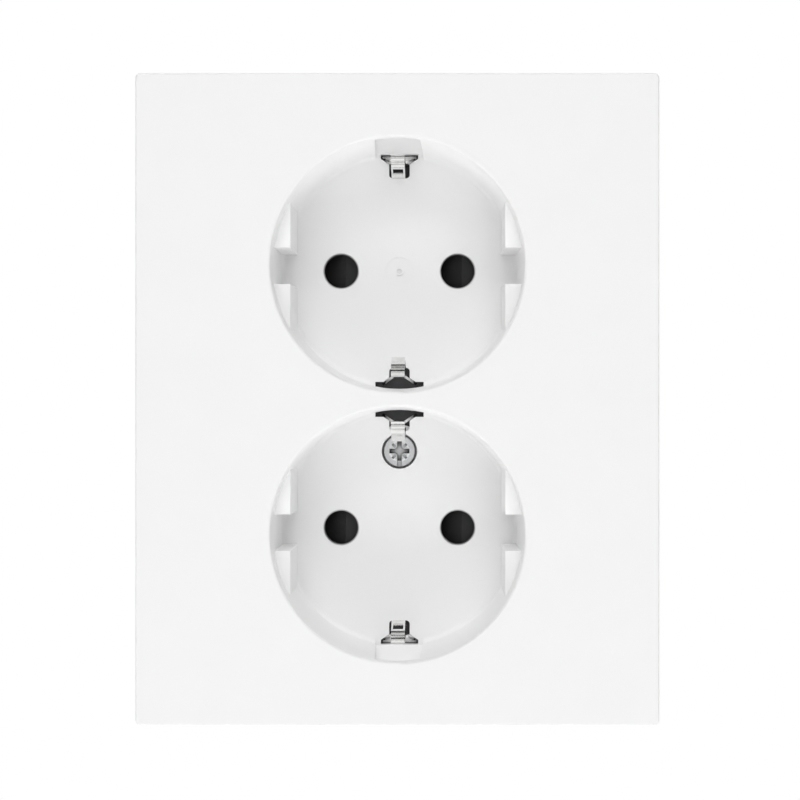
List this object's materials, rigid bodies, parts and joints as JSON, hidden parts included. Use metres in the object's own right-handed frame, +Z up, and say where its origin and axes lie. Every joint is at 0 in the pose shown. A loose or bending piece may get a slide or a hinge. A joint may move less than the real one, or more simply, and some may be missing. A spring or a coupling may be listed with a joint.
{
  "type": "double socket outlet",
  "caption": "Wall outlet with round recessed sockets one above the other, side earth clips, sliding pin shutters and a one-piece white cover on a flush-box base.",
  "frame": {"origin": "in the wall face, midway between the two sockets and between the two box screws", "axes": "+Z up along the line of the two sockets, +Y into the wall, +X to the right seen from the room"},
  "size_m": [0.081, 0.0467, 0.1008],
  "materials": {
    "white_cover": "smooth moulded, faint grain",
    "black_base": "moulded, fine matt texture",
    "black_shutter": "moulded, smooth",
    "grey_button": "moulded, smooth",
    "clear_plastic": "moulded, natural",
    "nickel_clip": "nickel plated, rolled strip",
    "zinc_steel": "zinc plated",
    "yoke_steel": "galvanised sheet",
    "rivet_metal": "upset, bright",
    "brass": "rolled strip",
    "spring_steel": "spring strip"
  },
  "bodies": {
    "outlet": {"cover_plate": "white_cover", "cover_screw": "zinc_steel", "screw_retainer": "clear_plastic", "base_housing": "black_base", "mounting_yoke": "yoke_steel", "rivet_upper": "rivet_metal", "rivet_lower": "rivet_metal", "earth_bar": "brass", "live_contact_bar": "brass", "neutral_contact_bar": "brass", "shutter_spring_upper": "spring_steel", "shutter_spring_lower": "spring_steel", "rear_cover": "black_base", "rear_screw_upper": "zinc_steel", "rear_screw_lower": "zinc_steel", "earth_clip_upper_outer": "nickel_clip", "earth_clip_upper_inner": "nickel_clip", "earth_clip_lower_outer": "nickel_clip", "earth_clip_lower_inner": "nickel_clip", "clamp_spring_live": "spring_steel", "clamp_spring_neutral": "spring_steel", "clamp_spring_earth": "spring_steel"},
    "upper_shutter": {"shutter_upper": "black_shutter"},
    "lower_shutter": {"shutter_lower": "black_shutter"},
    "live_button": {"release_button_live": "grey_button"},
    "neutral_button": {"release_button_neutral": "grey_button"},
    "earth_button": {"release_button_earth": "grey_button"}
  },
  "joints": [
    {"name": "shutter_upper_slide", "type": "slide", "parent": "outlet", "child": "upper_shutter", "axis": [1, 0, 0], "range_m": [0, 0.0062], "stiffness_N_per_m": 90, "springref_m": -0.003, "deforming": ["shutter_spring_upper"]},
    {"name": "shutter_lower_slide", "type": "slide", "parent": "outlet", "child": "lower_shutter", "axis": [1, 0, 0], "range_m": [0, 0.0062], "stiffness_N_per_m": 90, "springref_m": -0.003, "deforming": ["shutter_spring_lower"]},
    {"name": "release_live_slide", "type": "slide", "parent": "outlet", "child": "live_button", "axis": [0, -1, 0], "range_m": [0, 0.0015], "stiffness_N_per_m": 600, "springref_m": -0.0005, "deforming": ["clamp_spring_live"]},
    {"name": "release_neutral_slide", "type": "slide", "parent": "outlet", "child": "neutral_button", "axis": [0, -1, 0], "range_m": [0, 0.0015], "stiffness_N_per_m": 600, "springref_m": -0.0005, "deforming": ["clamp_spring_neutral"]},
    {"name": "release_earth_slide", "type": "slide", "parent": "outlet", "child": "earth_button", "axis": [0, -1, 0], "range_m": [0, 0.0015], "stiffness_N_per_m": 600, "springref_m": -0.0005, "deforming": ["clamp_spring_earth"]}
  ]
}
